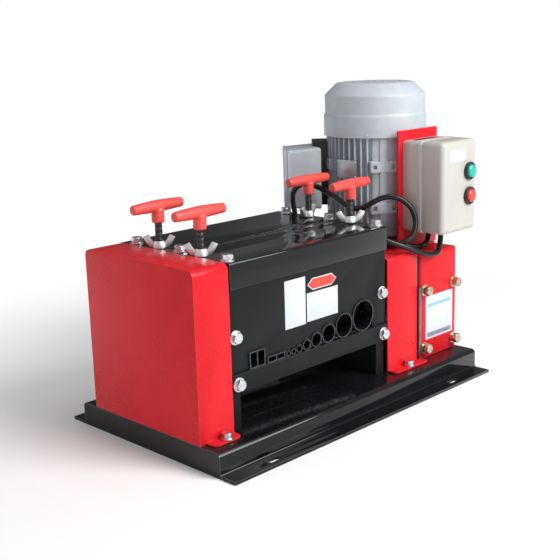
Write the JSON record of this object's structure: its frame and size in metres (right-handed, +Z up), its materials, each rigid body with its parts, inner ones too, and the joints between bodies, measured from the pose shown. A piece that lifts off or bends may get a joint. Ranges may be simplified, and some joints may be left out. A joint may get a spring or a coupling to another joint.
{
  "type": "wire stripping machine",
  "caption": "Bench wire stripper: guide of graded holes, driven feed rollers, round slitting blades with screw adjusters, upright motor with worm gear, and a push-button starter.",
  "frame": {"origin": "on the floor, under the middle of the machine's outline", "axes": "+X from the gear cover to the motor, along the rollers; +Y from the guide side to the outlet side; +Z up"},
  "size_m": [0.5612, 0.322, 0.4316],
  "materials": {
    "black_paint": "gloss black paint",
    "red_paint": "gloss red paint",
    "grey_paint": "satin blue grey paint on cast aluminium",
    "steel": "machined",
    "zinc": "bright zinc",
    "red_plastic": "satin red",
    "green_plastic": "satin green",
    "cream_plastic": "satin cream",
    "black_rubber": "satin black"
  },
  "bodies": {
    "frame": {"base_plate": "black_paint", "side_plate_left": "black_paint", "side_plate_right": "black_paint", "top_cover_front": "black_paint", "top_cover_rear": "black_paint", "front_plate": "black_paint", "guide_bar": "black_paint", "rear_plate": "black_paint", "wire_guide": "black_paint", "gear_cover": "red_paint", "coupling_cover": "red_paint", "gearbox_stand": "red_paint", "switch_plate": "red_paint", "gearbox_case": "grey_paint", "motor_flange": "grey_paint", "motor_body": "grey_paint", "fan_cover": "grey_paint", "terminal_box": "grey_paint", "terminal_lid": "grey_paint", "idler_pin": "steel", "stand_bolt_left_low": "zinc", "stand_bolt_left_high": "zinc", "stand_bolt_right_low": "zinc", "stand_bolt_right_high": "zinc", "switch_box": "cream_plastic", "switch_lid": "cream_plastic", "upper_lead": "black_rubber", "lower_lead": "black_rubber"},
    "feed_set": {"feed_roller": "steel", "feed_gear": "steel", "shaft_coupling": "steel", "worm_wheel": "steel"},
    "draw_set": {"draw_roller": "steel", "draw_gear": "steel"},
    "idler_set": {"idler_gear": "steel"},
    "front_carriage": {"front_block_left": "steel", "front_block_right": "steel"},
    "rear_carriage": {"rear_block_left": "steel", "rear_block_right": "steel"},
    "blade_set": {"blade_shaft": "steel", "cutter_set": "steel", "blade_gear": "steel"},
    "press_set": {"press_roller": "steel", "press_gear": "steel"},
    "front_left_adjuster": {"front_left_handle": "red_plastic", "front_left_screw": "steel"},
    "front_right_adjuster": {"front_right_handle": "red_plastic", "front_right_screw": "steel"},
    "rear_left_adjuster": {"rear_left_handle": "red_plastic", "rear_left_screw": "steel"},
    "rear_right_adjuster": {"rear_right_handle": "red_plastic", "rear_right_screw": "steel"},
    "front_left_lock": {"front_left_wing_nut": "zinc"},
    "front_right_lock": {"front_right_wing_nut": "zinc"},
    "rear_left_lock": {"rear_left_wing_nut": "zinc"},
    "rear_right_lock": {"rear_right_wing_nut": "zinc"},
    "motor_rotor": {"motor_shaft": "steel", "cooling_fan": "black_rubber"},
    "start": {"start_button": "green_plastic"},
    "stop": {"stop_button": "red_plastic"}
  },
  "joints": [
    {"name": "motor_spin", "type": "hinge", "parent": "frame", "child": "motor_rotor", "pos_m": [0.20349, 0.0245, 0.2046], "axis": [0, 0, 1], "continuous": true},
    {"name": "feed_spin", "type": "hinge", "parent": "frame", "child": "feed_set", "pos_m": [-0.07641, -0.0445, 0.083], "axis": [1, 0, 0], "continuous": true},
    {"name": "front_lift", "type": "slide", "parent": "frame", "child": "front_carriage", "axis": [0, 0, 1], "range_m": [0, 0.003]},
    {"name": "rear_lift", "type": "slide", "parent": "frame", "child": "rear_carriage", "axis": [0, 0, 1], "range_m": [0, 0.003]},
    {"name": "blade_spin", "type": "hinge", "parent": "front_carriage", "child": "blade_set", "pos_m": [-0.07641, -0.0445, 0.1605], "axis": [1, 0, 0], "continuous": true},
    {"name": "idler_spin", "type": "hinge", "parent": "frame", "child": "idler_set", "pos_m": [-0.23391, -0.0045, 0.083], "axis": [1, 0, 0], "continuous": true},
    {"name": "draw_spin", "type": "hinge", "parent": "frame", "child": "draw_set", "pos_m": [-0.07641, 0.0355, 0.083], "axis": [1, 0, 0], "continuous": true},
    {"name": "press_spin", "type": "hinge", "parent": "rear_carriage", "child": "press_set", "pos_m": [-0.07641, 0.0355, 0.138], "axis": [1, 0, 0], "continuous": true},
    {"name": "front_left_turn", "type": "hinge", "parent": "front_carriage", "child": "front_left_adjuster", "pos_m": [-0.21591, -0.0445, 0.2444], "axis": [0, 0, 1], "range_deg": [0, 720]},
    {"name": "front_left_lock_turn", "type": "hinge", "parent": "frame", "child": "front_left_lock", "pos_m": [-0.21591, -0.0445, 0.2444], "axis": [0, 0, 1], "continuous": true},
    {"name": "front_right_turn", "type": "hinge", "parent": "front_carriage", "child": "front_right_adjuster", "pos_m": [0.06309, -0.0445, 0.2444], "axis": [0, 0, 1], "range_deg": [0, 720]},
    {"name": "front_right_lock_turn", "type": "hinge", "parent": "frame", "child": "front_right_lock", "pos_m": [0.06309, -0.0445, 0.2444], "axis": [0, 0, 1], "continuous": true},
    {"name": "rear_left_turn", "type": "hinge", "parent": "rear_carriage", "child": "rear_left_adjuster", "pos_m": [-0.21591, 0.0355, 0.2444], "axis": [0, 0, 1], "range_deg": [0, 720]},
    {"name": "rear_left_lock_turn", "type": "hinge", "parent": "frame", "child": "rear_left_lock", "pos_m": [-0.21591, 0.0355, 0.2444], "axis": [0, 0, 1], "continuous": true},
    {"name": "rear_right_turn", "type": "hinge", "parent": "rear_carriage", "child": "rear_right_adjuster", "pos_m": [0.06309, 0.0355, 0.2444], "axis": [0, 0, 1], "range_deg": [0, 720]},
    {"name": "rear_right_lock_turn", "type": "hinge", "parent": "frame", "child": "rear_right_lock", "pos_m": [0.06309, 0.0355, 0.2444], "axis": [0, 0, 1], "continuous": true},
    {"name": "start_press", "type": "slide", "parent": "frame", "child": "start", "axis": [0, 1, 0], "range_m": [0, 0.004], "stiffness_N_per_m": 400, "springref_m": -0.002},
    {"name": "stop_press", "type": "slide", "parent": "frame", "child": "stop", "axis": [0, 1, 0], "range_m": [0, 0.004], "stiffness_N_per_m": 400, "springref_m": -0.002}
  ],
  "couplings": [
    {"joint": "feed_spin", "follows": "motor_spin", "ratio": -0.033333},
    {"joint": "blade_spin", "follows": "motor_spin", "ratio": 0.033333},
    {"joint": "idler_spin", "follows": "motor_spin", "ratio": 0.073333},
    {"joint": "draw_spin", "follows": "motor_spin", "ratio": -0.033333},
    {"joint": "press_spin", "follows": "motor_spin", "ratio": 0.033333},
    {"joint": "front_left_turn", "follows": "front_lift", "rad_per_m": 4188.8},
    {"joint": "front_right_turn", "follows": "front_lift", "rad_per_m": 4188.8},
    {"joint": "rear_left_turn", "follows": "rear_lift", "rad_per_m": 4188.8},
    {"joint": "rear_right_turn", "follows": "rear_lift", "rad_per_m": 4188.8}
  ]
}
